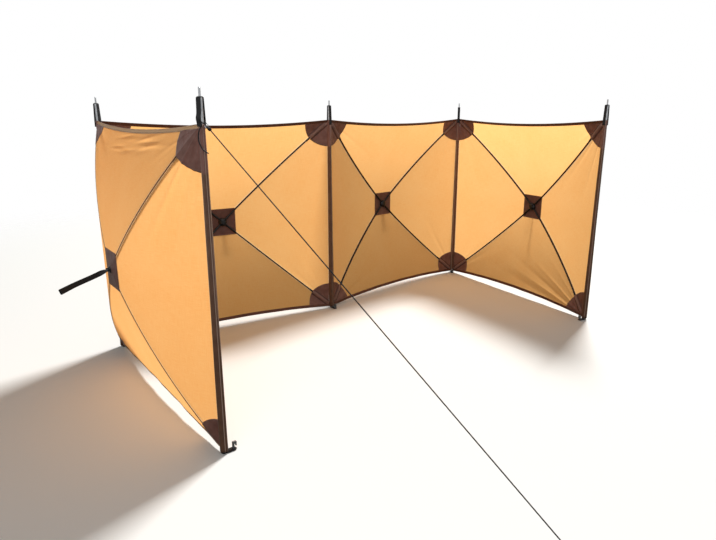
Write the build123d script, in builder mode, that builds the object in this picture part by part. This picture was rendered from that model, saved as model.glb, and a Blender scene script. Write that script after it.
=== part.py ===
"""Pop-up beach windbreak of four bays: cloth on sprung cross poles with a hub each, between five posts.

Frame: millimetres, +Z up, origin at the middle of the centre post's foot, sheltered side towards -Y.
A bay is drawn once in its own frame: +X along the bay, +Y up, +Z out of the sheltered side, with its
origin at the middle of the plane through its two post axes. It is then placed on each bay's plane.
"""
from build123d import *
from math import atan, cos, degrees, hypot, radians, sin, sqrt, tan
import os

# Plan
bay_width = 1525.0
bay_headings = {"left": 90.2, "back_left": -6.5, "back_right": 6.5, "right": -97.3}

# Cloth, bindings and patches
cloth_height = 1400.0
cloth_lift = 12.0
cloth_ply = 2.4
pop_depth = 205.0
cloth_bow = 38.0
edge_sag = 34.0
seam_gap = 0.4
ply_gap = 0.3
binding_width = 18.0
binding_ply = 1.6
binding_start = 5.5
patch_ply = 1.8
corner_patch_radius = 185.0
hub_patch_side = 190.0

# Posts and their sleeves, which hang slacker towards the foot
post_diameter = 19.0
pin_diameter = 9.0
pin_root_diameter = 9.6
pin_height = 38.0
pin_chamfer = 2.0
post_above_cloth = 96.0
sleeve_ply = 3.0
sleeve_top_slack = 3.0
sleeve_foot_slack = 14.0

# Cross poles, their ferrules at the hub and their pockets at the corners
pole_diameter = 9.5
pole_inset = 62.0
pocket_ply = 1.6
collar_diameter = 13.0
collar_length = 34.0
ferrule_diameter = 13.0
ferrule_length = 88.0
ferrule_clearance = 1.0
tongue_thickness = 7.0
tongue_height = 8.0
tongue_clearance = 0.5

# Hub: a slotted knuckle inside, and a cap with a strap bar outside
hub_diameter = 58.0
hub_rim = 12.0
hub_height = 24.0
hub_crown_diameter = 26.0
hub_shoulder = 24.0
hub_bolt_diameter = 10.0
pivot_radius = 20.0
pivot_pin_diameter = 3.2
pivot_clearance = 0.2
cap_diameter = 34.0
cap_thickness = 3.0
bar_diameter = 4.0
cap_taper = 20.0
ear_thickness = 3.0
ear_length = 12.0

# Webbing
webbing_width = 25.0
webbing_ply = 2.0
top_strap_width = 20.0
eyelet_bore = 10.0
eyelet_diameter = 22.0
eyelet_lip = 1.4
pull_strap_length = 240.0
foot_tab_length = 44.0
foot_tab_height = 4.0
strap_laps = {"left_end": 10.0, "left_corner": 34.0, "centre": 34.0, "right_corner": 34.0, "right_end": 34.0}
strap_angles = {"left": 72.0, "back_left": 0.0, "back_right": 0.0, "right": 0.0}
strap_turns = {"left_end": 35.0, "left_corner": 0.0, "centre": 0.0, "right_corner": 0.0, "right_end": 0.0}

# Guy rope, its ring, slider and pegs
rope_diameter = 4.5
rope_reach = 1550.0
rope_heading = -66.5
ring_wire = 3.0
ring_bore = 14.0
keeper_width = 4.0
keeper_ply = 1.6
knot_diameter = 13.5
knot_length = 12.0
slider_from_peg = 105.0
slider_wall = 5.0
slider_thickness = 9.0
slider_depth = 14.0
slider_round = 4.6
peg_diameter = 6.0
peg_height = 46.0
peg_bend = 7.8
peg_hook = 20.0
loop_height = 16.0
stopper_diameter = 11.0
tail_diameter = 4.5
tail_points = [(-0.4, -16.6, 3.4), (-7.2, -22.8, 0.8), (-13.4, -25.9, -6.9), (-17.4, -23.0, -16.5),
               (-20.0, -16.8, -28.0), (-21.2, -12.8, -45.0), (-20.9, -11.8, -63.5), (-16.8, -15.5, -80.5),
               (-10.2, -21.7, -94.5), (-2.0, -29.2, -103.5), (5.6, -35.6, -108.5)]
stake_width = 8.0
stake_thickness = 9.0
stake_height = 40.0
stake_hook = 11.0
stake_lip = 5.0
stake_round = 2.6

# Derived sizes
half_width = bay_width / 2
half_height = cloth_height / 2
sleeve_top = (post_diameter + sleeve_top_slack) / 2 + sleeve_ply
sleeve_foot = (post_diameter + sleeve_foot_slack) / 2 + sleeve_ply
cloth_middle = cloth_lift + half_height
cloth_top = cloth_lift + cloth_height
post_height = cloth_top + post_above_cloth
half_ply = cloth_ply / 2
patch_face = half_ply + ply_gap
patch_back = patch_face + patch_ply
binding_face = half_ply + ply_gap
binding_back = binding_face + binding_ply
edge_slope = atan((pop_depth + 4 * cloth_bow) / half_height)
pin_root_height = 3 * ply_gap + webbing_ply + eyelet_lip
pocket_radius = pole_diameter / 2 + ply_gap + pocket_ply
pole_depth = patch_back + (pocket_radius + ply_gap) / cos(edge_slope)
diagonal = hypot(half_width, half_height)
corners = [(1, 1), (-1, 1), (-1, -1), (1, -1)]
hub_reach = hub_diameter / 2 + ferrule_clearance

os.makedirs("parts", exist_ok=True)


def write_node(name, part):
    """Labels one finished piece and writes it as its own STEP file."""
    part.label = name
    export_step(part, "parts/" + name + ".step")


def point_from(start, heading, distance):
    """The point at a distance along a heading in plan."""
    return (start[0] + distance * cos(radians(heading)), start[1] + distance * sin(radians(heading)))


# Post axes in plan, from the centre post outwards
centre_post = (0.0, 0.0)
left_corner = point_from(centre_post, bay_headings["back_left"], -bay_width)
left_end = point_from(left_corner, bay_headings["left"], -bay_width)
right_corner = point_from(centre_post, bay_headings["back_right"], bay_width)
right_end = point_from(right_corner, bay_headings["right"], bay_width)
posts = {"left_end": left_end, "left_corner": left_corner, "centre": centre_post,
         "right_corner": right_corner, "right_end": right_end}
bay_starts = {"left": left_end, "back_left": left_corner, "back_right": centre_post, "right": right_corner}
inward_headings = {"left_end": bay_headings["left"] - 90,
                   "left_corner": (bay_headings["left"] + bay_headings["back_left"] - 180) / 2,
                   "centre": (bay_headings["back_left"] + bay_headings["back_right"] - 180) / 2,
                   "right_corner": (bay_headings["back_right"] + bay_headings["right"] - 180) / 2,
                   "right_end": bay_headings["right"] - 90}


def bay_plane(bay):
    """The plane through a bay's two post axes, seen from outside the shelter."""
    heading = bay_headings[bay]
    middle = point_from(bay_starts[bay], heading, half_width)
    along = (-cos(radians(heading)), -sin(radians(heading)), 0)
    outward = (-sin(radians(heading)), cos(radians(heading)), 0)
    return Plane(origin=(middle[0], middle[1], cloth_middle), x_dir=along, z_dir=outward)


def rise(share):
    """Height of the cloth's middle surface over the post plane, from 0 at an edge to 1 at the hub."""
    return 2 * share * (1 - share) * (pop_depth / 2 + 2 * cloth_bow) + share ** 2 * pop_depth


def bowed_band(half, low, high):
    """A closed outline between two like parabolas that rise from an edge to the hub."""
    for lift in (low, high):
        Bezier((half, lift), (half / 2, pop_depth / 2 + 2 * cloth_bow + lift), (0, pop_depth + lift))
    Line((0, pop_depth + low), (0, pop_depth + high))
    Line((half, low), (half, high))


def gore_planes(side):
    """Profile plane, half span and half length of the top, bottom, left or right gore."""
    turned = {"top": (0, 1, 0), "bottom": (0, -1, 0), "left": (-1, 0, 0), "right": (1, 0, 0)}[side]
    upright = side in ("top", "bottom")
    span = half_height if upright else half_width
    length = half_width if upright else half_height
    return Plane(origin=(0, 0, 0), x_dir=turned, z_dir=Vector(*turned).cross(Vector(0, 0, 1))), span, length


def gore_wedge(side, gap):
    """The triangle between two diagonals that one gore fills, kept half a seam clear of them."""
    wide, tall = half_width, half_height
    corners = {"top": [(-wide, tall), (wide, tall)], "bottom": [(wide, -tall), (-wide, -tall)],
               "left": [(-wide, -tall), (-wide, tall)], "right": [(wide, tall), (wide, -tall)]}[side]
    inward = {"top": (0, gap), "bottom": (0, -gap), "left": (-gap, 0), "right": (gap, 0)}[side]
    points = [(x + inward[0], y + inward[1]) for x, y in corners]
    Polyline(inward, points[0], points[1], inward)


def edge_outline(shift):
    """The bay's outline: straight at the sleeves, with its upper and lower edges curved inwards."""
    tall = half_height + shift
    top = ThreePointArc((-half_width, tall), (0, tall - edge_sag), (half_width, tall))
    bottom = ThreePointArc((-half_width, -tall), (0, edge_sag - tall), (half_width, -tall))
    Line(top @ 0, bottom @ 0)
    Line(top @ 1, bottom @ 1)


def gore_skin(side, low, high, gap=0.0):
    """One gore of the bay's surface between two depths, out to its edges."""
    plane, span, length = gore_planes(side)
    with BuildPart() as skin:
        with BuildSketch(plane):
            with BuildLine():
                bowed_band(span, low, high)
            make_face()
        extrude(amount=length, both=True)
        with BuildSketch(Plane.XY.offset(-2 * patch_back)):
            with BuildLine():
                gore_wedge(side, gap)
            make_face()
        extrude(amount=pop_depth + 4 * patch_back, mode=Mode.INTERSECT)
    return skin.part


def bay_skin(low, high):
    """All four gores between two depths, as one surface."""
    with BuildPart() as skin:
        for side in ("top", "right", "bottom", "left"):
            add(gore_skin(side, low, high))
    return skin.part


def panel_outline(inset=0.0):
    """The panel between its two sleeves, which are narrower at the top than at the foot, less an inset."""
    top = half_width - sleeve_top - ply_gap - inset
    foot = half_width - sleeve_foot - ply_gap - inset
    middle, taper = (top + foot) / 2, top - foot
    Polyline((-middle - taper, cloth_height), (middle + taper, cloth_height), (middle - taper, -cloth_height),
             (taper - middle, -cloth_height), close=True)


def radial_plane(corner):
    """The upright plane through the hub's axis and one corner: along the diagonal, and out of the shelter."""
    along = Vector(corner[0] * half_width, corner[1] * half_height, 0)
    return Plane(origin=(0, 0, 0), x_dir=along, z_dir=along.cross(Vector(0, 0, 1)))


def pole_arc(corner):
    """A pole's middle line under one diagonal, from inside its corner pocket to its ferrule's end."""
    start, end = pole_inset / diagonal, 1 - hub_reach / diagonal
    with BuildLine(radial_plane(corner)) as line:
        ThreePointArc(*[(diagonal * (1 - share), rise(share) - pole_depth)
                        for share in (start, (start + end) / 2, end)])
    return line.edge()


# Cloth: four gores that meet along the poles
with BuildPart() as cloth:
    for side in ("top", "right", "bottom", "left"):
        add(gore_skin(side, -half_ply, half_ply, seam_gap))
    with BuildSketch(Plane.XY.offset(-2 * patch_back)):
        with BuildLine():
            edge_outline(0)
        make_face()
        with BuildLine():
            panel_outline()
        make_face(mode=Mode.INTERSECT)
        Circle(hub_bolt_diameter / 2 + ply_gap, mode=Mode.SUBTRACT)
    extrude(amount=pop_depth + 4 * patch_back, mode=Mode.INTERSECT)

# Bindings: folded over the upper and lower edges of the cloth
with BuildPart() as binding:
    add(bay_skin(-binding_back, binding_back))
    with BuildSketch(Plane.XY.offset(-2 * patch_back)):
        with BuildLine():
            edge_outline(ply_gap + binding_ply)
        make_face()
        with BuildLine():
            edge_outline(-binding_width)
        make_face(mode=Mode.SUBTRACT)
        with BuildLine():
            panel_outline(binding_start)
        make_face(mode=Mode.INTERSECT)
    extrude(amount=pop_depth + 4 * patch_back, mode=Mode.INTERSECT)
    with BuildSketch(Plane.XY.offset(-2 * patch_back)) as folded:
        with BuildLine():
            edge_outline(ply_gap)
        make_face()
    add(extrude(folded.sketch, amount=pop_depth + 4 * patch_back, mode=Mode.PRIVATE)
        & bay_skin(-binding_face, binding_face), mode=Mode.SUBTRACT)

# Patches: quarter rounds at the corners and a square under the hub, on both faces of the cloth
with BuildSketch() as patch_outline:
    with GridLocations(bay_width, cloth_height, 2, 2):
        Circle(corner_patch_radius)
    with BuildLine():
        edge_outline(-binding_width - ply_gap)
    make_face(mode=Mode.INTERSECT)
    with BuildLine():
        panel_outline()
    make_face(mode=Mode.INTERSECT)
    Rectangle(hub_patch_side, hub_patch_side)
    Circle(hub_bolt_diameter / 2 + ply_gap, mode=Mode.SUBTRACT)


def patches_on(low, high):
    """The patches on one face of the cloth."""
    with BuildPart() as face:
        add(bay_skin(low, high))
        extrude(Plane.XY.offset(-2 * patch_back) * patch_outline.sketch,
                amount=pop_depth + 4 * patch_back, mode=Mode.INTERSECT)
    return face.part


# Where each pole starts in its pocket, and where the pocket's mouth is, as shares of the pole's arc
first_arc = pole_arc(corners[0])
pocket_end = pocket_ply / first_arc.length
pole_start = pocket_end + ply_gap / first_arc.length
pocket_mouth = (corner_patch_radius - pole_inset) / (diagonal - pole_inset - hub_reach)

# Pockets: a closed tube of patch cloth along the diagonal, inside each corner patch
with BuildPart() as pockets:
    for corner in corners:
        whole = pole_arc(corner).trim(0, pocket_mouth)
        with BuildSketch(Plane(origin=whole @ 0, z_dir=whole % 0)):
            Circle(pocket_radius)
        sweep(path=whole)
        bore = pole_arc(corner).trim(pocket_end, pocket_mouth)
        with BuildSketch(Plane(origin=bore @ 0, z_dir=bore % 0)):
            Circle(pole_diameter / 2 + ply_gap)
        sweep(path=bore, mode=Mode.SUBTRACT)

with BuildPart() as patches:
    add(patches_on(patch_face, patch_back))
    add(patches_on(-patch_back, -patch_face))
    add(pockets.part)

# The pivots at the hub lie on each pole's end tangent
pole_end = first_arc @ 1
end_slope = (first_arc % 1).Z / hypot((first_arc % 1).X, (first_arc % 1).Y)
pivot_height = pole_end.Z + end_slope * (hub_reach - pivot_radius)
tongue_run = (hub_reach + tongue_height / 2 - pivot_radius) * hypot(1, end_slope)
tongue_middle = ((hub_reach + tongue_height / 2 + pivot_radius) / 2,
                 pivot_height - end_slope * (hub_reach + tongue_height / 2 - pivot_radius) / 2)

# Poles: sprung rods with a collar at the pocket's mouth, and a ferrule with a drilled tongue at the hub
with BuildPart() as poles:
    for corner in corners:
        arc = pole_arc(corner)
        rod = arc.trim(pole_start, 1)
        with BuildSketch(Plane(origin=rod @ 0, z_dir=rod % 0)):
            Circle(pole_diameter / 2)
        sweep(path=rod)
        collar = arc.trim(pocket_mouth + ply_gap / arc.length, 1)
        with BuildSketch(Plane(origin=collar @ 0, z_dir=collar % 0)):
            Circle(collar_diameter / 2)
        extrude(amount=collar_length)
        with BuildSketch(Plane(origin=arc @ 1, z_dir=-(arc % 1))):
            Circle(ferrule_diameter / 2)
        extrude(amount=ferrule_length)
        with BuildSketch(radial_plane(corner)):
            with Locations(tongue_middle):
                SlotCenterToCenter(tongue_run, tongue_height, rotation=-degrees(atan(end_slope)))
            with Locations((pivot_radius, pivot_height)):
                Circle(pivot_pin_diameter / 2 + pivot_clearance, mode=Mode.SUBTRACT)
        extrude(amount=tongue_thickness / 2, both=True)

# Hub: a turned knuckle with four open slots and a pin across each, a bolt through the cloth, and a cap with
# ears and a strap bar outside
hub_seat = rise(1 - hub_diameter / 2 / half_height) - patch_back - ply_gap
cap_seat = pop_depth + patch_back + ply_gap
bar_height = cap_seat + cap_thickness + bar_diameter / 2 + webbing_ply + 2 * ply_gap
slot_width = tongue_thickness + 2 * tongue_clearance
slot_floor = pivot_radius - tongue_height / 2 - tongue_clearance
with BuildPart() as hub:
    with BuildSketch(Plane.XZ):
        with BuildLine():
            Polyline((0, hub_seat - hub_height), (0, hub_seat), (hub_diameter / 2, hub_seat),
                     (hub_diameter / 2, hub_seat - hub_rim))
            RadiusArc((hub_diameter / 2, hub_seat - hub_rim), (hub_crown_diameter / 2, hub_seat - hub_height),
                      hub_shoulder)
            Line((hub_crown_diameter / 2, hub_seat - hub_height), (0, hub_seat - hub_height))
        make_face()
    revolve(axis=Axis.Z)
    for corner in corners:
        with BuildSketch(radial_plane(corner)):
            with BuildLine():
                roof = pivot_height + tongue_height / 2 + tongue_clearance
                Polyline((slot_floor, hub_seat - 2 * hub_height), (slot_floor, roof), (hub_diameter, roof),
                         (hub_diameter, hub_seat - 2 * hub_height), close=True)
            make_face()
        extrude(amount=slot_width / 2, both=True, mode=Mode.SUBTRACT)
        with BuildSketch(radial_plane(corner)):
            with Locations((pivot_radius, pivot_height)):
                Circle(pivot_pin_diameter / 2)
        extrude(amount=slot_width, both=True)
    with BuildSketch(Plane.XY.offset(hub_seat - ply_gap)):
        Circle(hub_bolt_diameter / 2)
    extrude(amount=cap_seat - hub_seat + 2 * ply_gap)
    with BuildSketch(Plane.XY.offset(cap_seat)):
        Circle(cap_diameter / 2)
    extrude(amount=cap_thickness, taper=cap_taper)
    with BuildSketch(Plane.XY.offset(cap_seat)):
        with GridLocations(webbing_width + 2 * ply_gap + ear_thickness, 0, 2, 1):
            Rectangle(ear_thickness, ear_length)
    extrude(amount=bar_height + ear_length / 2 - cap_seat)
    with BuildSketch(Plane.YZ.offset(-webbing_width / 2 - ply_gap - ear_thickness / 2)):
        with Locations((0, bar_height)):
            Circle(bar_diameter / 2)
    extrude(amount=webbing_width + 2 * ply_gap + ear_thickness)


def pull_strap(angle):
    """A closed loop of webbing round the strap bar, turned out from hanging straight down."""
    bend = bar_diameter / 2 + ply_gap + webbing_ply / 2
    across = Plane(origin=(-webbing_width / 2, 0, bar_height),
                   x_dir=(0, -cos(radians(angle)), sin(radians(angle))), z_dir=(1, 0, 0))
    with BuildPart() as strap:
        with BuildSketch(across):
            with Locations((pull_strap_length / 2 - bend, 0)):
                SlotCenterToCenter(pull_strap_length - 2 * bend, 2 * bend + webbing_ply)
                SlotCenterToCenter(pull_strap_length - 2 * bend, 2 * bend - webbing_ply, mode=Mode.SUBTRACT)
        extrude(amount=webbing_width)
    return strap.part


for bay in bay_headings:
    place = bay_plane(bay).location
    write_node(bay + "_bay_cloth", place * cloth.part)
    write_node(bay + "_bay_binding", place * binding.part)
    write_node(bay + "_bay_patches", place * patches.part)
    write_node(bay + "_bay_poles", place * poles.part)
    write_node(bay + "_bay_hub", place * hub.part)
    write_node(bay + "_bay_pull_strap", place * pull_strap(strap_angles[bay]))

# Posts: steel tube with a plain foot, and a shouldered pin on top
with BuildPart() as post:
    with BuildSketch():
        Circle(post_diameter / 2)
    extrude(amount=post_height)
    with BuildSketch(Plane.XY.offset(post_height)):
        Circle(pin_root_diameter / 2)
    extrude(amount=pin_root_height)
    with BuildSketch(Plane.XY.offset(post_height + pin_root_height)):
        Circle(pin_diameter / 2)
    extrude(amount=pin_height - pin_root_height)
    chamfer(post.faces().sort_by(Axis.Z)[-1].edges(), pin_chamfer)

# Sleeves: the cloth's own tube round each post, slacker towards the foot
with BuildPart() as sleeve:
    with BuildSketch(Plane.XZ):
        with BuildLine():
            Polyline((sleeve_foot, cloth_lift), (sleeve_top, cloth_top), (sleeve_top - sleeve_ply, cloth_top),
                     (sleeve_foot - sleeve_ply, cloth_lift), close=True)
        make_face()
    revolve(axis=Axis.Z)

# Top straps: webbing sewn to both faces of the sleeve and carried over the top of the post
strap_hole = eyelet_bore / 2 + eyelet_lip + ply_gap / 2


def top_strap(lap):
    """One strap over a post's top, which reaches down the sleeve by its lap."""
    low = sleeve_top + (sleeve_foot - sleeve_top) * lap / cloth_height + ply_gap
    high = post_diameter / 2 + ply_gap + webbing_ply
    with BuildPart() as strap:
        with BuildSketch(Plane.XZ.offset(-top_strap_width / 2)):
            with BuildLine():
                Polyline((-low, cloth_top - lap), (-low, cloth_top + ply_gap), (-high, post_height + ply_gap),
                         (high, post_height + ply_gap), (low, cloth_top + ply_gap), (low, cloth_top - lap))
                offset(amount=webbing_ply, side=Side.LEFT)
            make_face()
        extrude(amount=top_strap_width)
        with BuildSketch(Plane.XY.offset(post_height)):
            Circle(strap_hole)
        extrude(amount=2 * webbing_ply, mode=Mode.SUBTRACT)
    return strap.part


# Eyelets: one in each top strap, round the pin
with BuildPart() as eyelet:
    with BuildSketch(Plane.XY.offset(post_height + ply_gap)):
        Circle(eyelet_bore / 2 + eyelet_lip)
        Circle(eyelet_bore / 2, mode=Mode.SUBTRACT)
    extrude(amount=webbing_ply + ply_gap + eyelet_lip)
    with BuildSketch(Plane.XY.offset(post_height + 2 * ply_gap + webbing_ply)):
        Circle(eyelet_diameter / 2)
        Circle(eyelet_bore / 2, mode=Mode.SUBTRACT)
    extrude(amount=eyelet_lip)

# Foot tabs: a flat webbing strip round the foot, with a stake through its end
with BuildPart() as foot_tab:
    with BuildSketch(Plane.XY.offset(foot_tab_height)):
        with Locations((foot_tab_length / 2, 0)):
            SlotCenterToCenter(foot_tab_length, webbing_width + 2 * webbing_ply)
        Circle(post_diameter / 2 + ply_gap, mode=Mode.SUBTRACT)
        with Locations((foot_tab_length, 0)):
            Rectangle(stake_width + 2 * ply_gap, stake_thickness + 2 * ply_gap, mode=Mode.SUBTRACT)
    extrude(amount=webbing_ply)

# Foot stakes: a moulded stake's head, with a hook that faces away from the post
with BuildPart() as stake:
    with BuildSketch(Plane.XZ):
        with BuildLine():
            inner, outer = stake_width / 2, stake_width / 2 + stake_hook
            notch, lip = stake_height - stake_hook, stake_height - 2 * stake_hook
            Polyline((-inner, 0), (inner, 0), (inner, notch), (outer - stake_lip, notch),
                     (outer - stake_lip, lip), (outer, lip), (outer, stake_height), (-inner, stake_height),
                     close=True)
        make_face()
    extrude(amount=stake_thickness / 2, both=True)
    fillet(stake.edges().filter_by(Axis.Y).group_by(Axis.Z)[-1], stake_round)


def at_post(name, turn=0.0):
    """The place of a post's own pieces: its foot, facing the sheltered side, turned by an angle."""
    facing = radians(inward_headings[name] + turn)
    return Plane(origin=(*posts[name], 0), x_dir=(cos(facing), sin(facing), 0), z_dir=(0, 0, 1)).location


tabs = []
stakes = []
eyelets = []
for name in posts:
    upright = at_post(name)
    write_node(name + "_post", upright * post.part)
    write_node(name + "_sleeve", upright * sleeve.part)
    eyelets.append(upright * eyelet.part)
    tabs.append(upright * foot_tab.part)
    stakes.append(upright * (Pos(foot_tab_length, 0, 0) * stake.part))

write_node("top_eyelets", Compound(children=eyelets))
write_node("foot_tabs", Compound(children=tabs))
write_node("foot_pegs", Compound(children=stakes))

# Guy line: in the upright plane through the left end post, from the post's keeper down to its peg
guy_plane = Plane(origin=(*left_end, 0), x_dir=(cos(radians(rope_heading)), sin(radians(rope_heading)), 0),
                  z_dir=(sin(radians(rope_heading)), -cos(radians(rope_heading)), 0))
rope_tilt = atan((cloth_top + sleeve_top - loop_height) / rope_reach)
keeper_height = cloth_top + (sleeve_top * sin(rope_tilt) + keeper_width / 2 + ply_gap) / cos(rope_tilt)
keeper_middle = guy_plane.from_local_coords((0, keeper_height, 0))
rope_foot = guy_plane.from_local_coords((rope_reach, loop_height, 0))
rope_line = (rope_foot - keeper_middle).normalized()
aside = guy_plane.z_dir

# Ring: in the same upright plane, just outside the sleeve
ring_radius = (ring_bore + ring_wire) / 2
ring_place = (sleeve_top + ply_gap + ring_radius + ring_wire / 2) / hypot(rope_line.X, rope_line.Y)
ring_middle = keeper_middle + rope_line * ring_place
with BuildPart() as guy_ring:
    with BuildSketch(Plane(origin=ring_middle + rope_line * ring_radius, x_dir=rope_line,
                           z_dir=rope_line.cross(aside))):
        Circle(ring_wire / 2)
    revolve(axis=Axis(ring_middle, aside))
write_node("guy_ring", guy_ring.part)

# Keeper: a narrow closed band round the post and the ring, tilted as the rope pulls it
keeper_lean = (post_diameter / 2 + keeper_width / 2 * sin(rope_tilt)) / cos(rope_tilt) - post_diameter / 2
keeper_sag = ring_radius - sqrt(ring_radius ** 2 - (keeper_width / 2) ** 2)


def band_outline(slack):
    """The tight outline round the post and the ring's wire, at a distance from both."""
    with BuildSketch(Plane(origin=keeper_middle, x_dir=rope_line, z_dir=rope_line.cross(aside))) as outline:
        with GridLocations(2 * keeper_lean, 0, 2, 1):
            Circle(post_diameter / 2 + slack)
        with Locations((ring_place - ring_radius, 0)):
            Circle(ring_wire / 2 + keeper_sag + slack)
        make_hull()
    return outline.sketch


with BuildPart() as keeper:
    extrude(band_outline(ply_gap + keeper_ply), amount=keeper_width / 2, both=True)
    extrude(band_outline(ply_gap), amount=keeper_width / 2, both=True, mode=Mode.SUBTRACT)

for name in posts:
    straps = [at_post(name, strap_turns[name]) * top_strap(strap_laps[name])]
    if name == "left_end":
        straps.append(keeper.part)
    write_node(name + "_top_strap", Compound(children=straps))

# Rope: an eye through the ring, a knot, one straight run, a turn round the peg and back to the slider
loop_radius = (peg_diameter / 2 + ply_gap + rope_diameter / 2) / hypot(rope_line.X, rope_line.Y)
eye_radius = ring_wire / 2 + ply_gap + rope_diameter / 2
eye_middle = ring_middle + rope_line * ring_radius
knot_start = eye_middle + rope_line * eye_radius
return_foot = rope_foot - aside * 2 * loop_radius
slider_middle = rope_foot - rope_line * slider_from_peg
return_end = slider_middle - aside * 2 * loop_radius - rope_line * (slider_thickness + knot_length)

with BuildPart() as guy_rope:
    with BuildLine() as run:
        Line(knot_start + rope_line * knot_length / 2, rope_foot)
        ThreePointArc(rope_foot, rope_foot - aside * loop_radius + rope_line * loop_radius, return_foot)
        Line(return_foot, return_end)
    with BuildSketch(Plane(origin=run.line @ 0, z_dir=rope_line)):
        Circle(rope_diameter / 2)
    sweep(path=run.wire())
    with BuildLine() as eye:
        Line(knot_start + rope_line * knot_length / 2 + aside * eye_radius, eye_middle + aside * eye_radius)
        ThreePointArc(eye_middle + aside * eye_radius, eye_middle - rope_line * eye_radius,
                      eye_middle - aside * eye_radius)
        Line(eye_middle - aside * eye_radius, knot_start + rope_line * knot_length / 2 - aside * eye_radius)
    with BuildSketch(Plane(origin=eye.line @ 0, z_dir=-rope_line)):
        Circle(rope_diameter / 2)
    sweep(path=eye.wire())
    with BuildSketch(Plane(origin=knot_start, x_dir=aside, z_dir=rope_line)):
        Circle(knot_diameter / 2)
    extrude(amount=knot_length)
    with BuildSketch(Plane(origin=return_end, x_dir=aside, z_dir=rope_line)):
        Circle(stopper_diameter / 2)
    extrude(amount=knot_length - ply_gap - slider_thickness / 2)
write_node("guy_rope", guy_rope.part)

# Tail: the keeper's loose end, which hangs past the sleeve and curls outwards
tail_top = Vector(*left_end, cloth_top)
tail_route = [tail_top + Vector(*point) for point in tail_points]
tail_runs = [after - before for before, after in zip(tail_route, tail_route[1:])]
tail_radii = [0.45 * min(before.length, after.length) / tan(radians(before.get_angle(after)) / 2)
              for before, after in zip(tail_runs, tail_runs[1:])]
print("Tail radii", [round(radius, 1) for radius in tail_radii])
with BuildPart() as guy_tail:
    with BuildLine() as hanging:
        FilletPolyline(*tail_route, radius=tail_radii)
    with BuildSketch(Plane(origin=tail_route[0], z_dir=tail_runs[0])):
        Circle(tail_diameter / 2)
    sweep(path=hanging.wire())
write_node("guy_tail", guy_tail.part)

with BuildPart() as guy_slider:
    with BuildSketch(Plane(origin=slider_middle - aside * loop_radius, x_dir=aside, z_dir=rope_line)):
        RectangleRounded(2 * loop_radius + rope_diameter + 2 * slider_wall, slider_depth, slider_round)
        with GridLocations(2 * loop_radius, 0, 2, 1):
            Circle(rope_diameter / 2 + ply_gap, mode=Mode.SUBTRACT)
    extrude(amount=slider_thickness / 2, both=True)
write_node("guy_slider", guy_slider.part)

# Guy peg: a wire peg's stem with its top bent over into a hook
peg_foot = Vector(rope_foot.X, rope_foot.Y, 0) - aside * loop_radius
peg_shoulder = peg_height - peg_bend
with BuildPart() as guy_peg:
    with BuildLine(Plane(origin=peg_foot, x_dir=guy_plane.x_dir, z_dir=aside)) as stem:
        Line((0, 0), (0, peg_shoulder))
        ThreePointArc((0, peg_shoulder), (peg_bend, peg_height), (2 * peg_bend, peg_shoulder))
        Line((2 * peg_bend, peg_shoulder), (2 * peg_bend, peg_shoulder - peg_hook))
    with BuildSketch(Plane(origin=peg_foot, z_dir=(0, 0, 1))):
        Circle(peg_diameter / 2)
    sweep(path=stem.wire())
write_node("guy_peg", guy_peg.part)
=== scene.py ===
"""Looks of the beach windbreak: sewn cloth, tape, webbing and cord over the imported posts, poles and hubs."""
import bmesh
import bpy
import numpy as np
from functools import partial
from math import atan, atan2, cos, hypot, pi, radians, sin, sqrt
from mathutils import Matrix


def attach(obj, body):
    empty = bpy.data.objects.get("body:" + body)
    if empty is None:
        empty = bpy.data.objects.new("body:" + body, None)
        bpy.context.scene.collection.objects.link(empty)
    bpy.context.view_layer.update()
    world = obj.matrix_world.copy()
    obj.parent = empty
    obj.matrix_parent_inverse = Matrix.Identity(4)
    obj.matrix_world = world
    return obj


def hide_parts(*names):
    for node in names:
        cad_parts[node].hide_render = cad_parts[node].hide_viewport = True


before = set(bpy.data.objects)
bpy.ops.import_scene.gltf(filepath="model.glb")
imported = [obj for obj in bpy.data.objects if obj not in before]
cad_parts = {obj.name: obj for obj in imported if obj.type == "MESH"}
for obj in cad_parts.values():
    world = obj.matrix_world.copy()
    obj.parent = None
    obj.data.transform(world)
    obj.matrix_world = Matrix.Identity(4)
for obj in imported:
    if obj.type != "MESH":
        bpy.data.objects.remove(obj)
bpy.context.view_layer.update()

# Sizes in metres and headings in degrees, as in the part's source
bay_width = 1.525
bay_headings = {"left": 90.2, "back_left": -6.5, "back_right": 6.5, "right": -97.3}
cloth_height = 1.4
cloth_lift = 0.012
pop_depth = 0.205
cloth_bow = 0.038
edge_sag = 0.034
ply_gap = 0.0003
binding_width = 0.018
corner_patch_radius = 0.185
hub_patch_side = 0.19
post_radius = 0.0095
sleeve_top = 0.014
sleeve_foot = 0.0195
post_above_cloth = 0.096
pole_inset = 0.062
pole_depth = 0.0111
pocket_radius = 0.00665
webbing_width = 0.025
webbing_ply = 0.002
top_strap_width = 0.020
strap_lap = 0.034
end_strap_lap = 0.010
end_strap_turn = 35.0
strap_hole = 0.0066
pull_strap_length = 0.24
bar_height = 0.0112
bar_radius = 0.002
left_strap_angle = 72.0
foot_tab_length = 0.044
foot_tab_height = 0.004
stake_hole = (0.0043, 0.0048)
rope_radius = 0.00225
rope_reach = 1.55
rope_heading = radians(-66.5)
loop_height = 0.016
ring_wire = 0.003
ring_radius = 0.0085
keeper_width = 0.004
keeper_ply = 0.0016
knot_length = 0.012
slider_from_peg = 0.105
slider_thickness = 0.009
peg_radius = 0.003
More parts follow.
